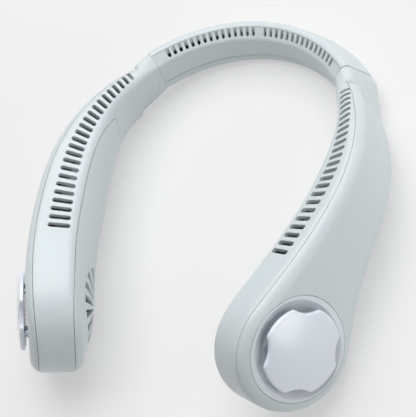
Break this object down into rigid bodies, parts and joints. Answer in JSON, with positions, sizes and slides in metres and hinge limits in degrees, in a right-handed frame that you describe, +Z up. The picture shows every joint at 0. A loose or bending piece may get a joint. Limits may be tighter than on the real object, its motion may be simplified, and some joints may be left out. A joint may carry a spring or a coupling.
{
  "type": "electric neck fan",
  "caption": "U-shaped wearable fan: a slotted neck band on ribbed soft joints carries two arms, each ending in a round pod with a blower behind a scalloped cap.",
  "frame": {"origin": "bottom centre of the fan as it rests on a table on its pods and the band's foot", "axes": "+X to the wearer's right in the picture's view, +Y to the back of the neck, +Z up"},
  "size_m": [0.1832, 0.2066, 0.062],
  "materials": {
    "shell_white": "satin moulded plastic, pale cool grey-white",
    "strip_white": "satin moulded plastic, pale cool grey-white",
    "cover_white": "satin moulded plastic, pale cool grey-white",
    "dish_white": "satin moulded plastic, slightly darker",
    "cap_white": "glossy moulded plastic, faint lavender",
    "button_white": "glossy moulded plastic",
    "soft_sleeve": "matte silicone, pale grey",
    "inner_plastic": "natural moulded nylon",
    "dark_plastic": "dark moulded plastic",
    "fan_plastic": "dark grey moulded plastic",
    "steel": "plain steel",
    "stator_steel": "laminated steel with windings",
    "magnet": "sintered magnet",
    "bearing_bronze": "sintered bronze",
    "battery_wrap": "pouch cell foil",
    "foam": "closed-cell foam",
    "circuit_green": "circuit board",
    "lens_clear": "light pipe",
    "socket_steel": "plated steel",
    "wire_black": "insulated wire bundle"
  },
  "bodies": {
    "neck_band": {"neck_outer_shell": "shell_white", "neck_inner_shell": "strip_white", "wire_harness": "wire_black", "right_hinge_yoke": "inner_plastic", "right_hinge_pin": "steel", "right_joint_sleeve": "soft_sleeve", "left_hinge_yoke": "inner_plastic", "left_hinge_pin": "steel", "left_joint_sleeve": "soft_sleeve"},
    "right_arm": {"right_outer_shell": "shell_white", "right_slot_frame": "strip_white", "right_inner_cover": "cover_white", "right_hinge_tongue": "inner_plastic", "right_inlet_ring": "dish_white", "right_inlet_cap": "cap_white", "right_housing_screws": "steel", "right_blower_housing": "dark_plastic", "right_shaft_bearing": "bearing_bronze", "right_motor_stator": "stator_steel", "right_battery_cell": "battery_wrap", "right_battery_pad": "foam"},
    "left_arm": {"left_outer_shell": "shell_white", "left_slot_frame": "strip_white", "left_inner_cover": "cover_white", "left_hinge_tongue": "inner_plastic", "left_inlet_ring": "dish_white", "left_inlet_cap": "cap_white", "left_housing_screws": "steel", "left_blower_housing": "dark_plastic", "left_shaft_bearing": "bearing_bronze", "left_motor_stator": "stator_steel", "left_battery_cell": "battery_wrap", "left_battery_pad": "foam", "left_tactile_switch": "dark_plastic", "left_control_board": "circuit_green", "left_board_screws": "steel", "left_status_lenses": "lens_clear", "left_charging_socket": "socket_steel", "left_charge_board": "circuit_green"},
    "right_fan": {"right_impeller": "fan_plastic", "right_magnet_ring": "magnet", "right_motor_shaft": "steel"},
    "left_fan": {"left_impeller": "fan_plastic", "left_magnet_ring": "magnet", "left_motor_shaft": "steel"},
    "power_button": {"left_power_button": "button_white", "left_switch_plunger": "dark_plastic"}
  },
  "joints": [
    {"name": "right_shoulder", "type": "hinge", "parent": "neck_band", "child": "right_arm", "pos_m": [0.05949, 0.06308, 0.01716], "axis": [-0.1567, -0.121, 0.9802], "range_deg": [-5, 18], "stiffness_Nm_per_rad": 0.3, "deforming": ["right_joint_sleeve"]},
    {"name": "left_shoulder", "type": "hinge", "parent": "neck_band", "child": "left_arm", "pos_m": [-0.05949, 0.06308, 0.01716], "axis": [-0.1567, 0.121, -0.9802], "range_deg": [-5, 18], "stiffness_Nm_per_rad": 0.3, "deforming": ["left_joint_sleeve"]},
    {"name": "right_fan_spin", "type": "hinge", "parent": "right_arm", "child": "right_fan", "pos_m": [0.0742, -0.07588, 0.03655], "axis": [0.8461, -0.2987, 0.4415], "continuous": true},
    {"name": "left_fan_spin", "type": "hinge", "parent": "left_arm", "child": "left_fan", "pos_m": [-0.0742, -0.07588, 0.03655], "axis": [0.8461, 0.2987, -0.4415], "continuous": true},
    {"name": "power_button_press", "type": "slide", "parent": "left_arm", "child": "power_button", "axis": [0.9206, 0.088, -0.3803], "range_m": [0, 0.0008], "stiffness_N_per_m": 900}
  ]
}
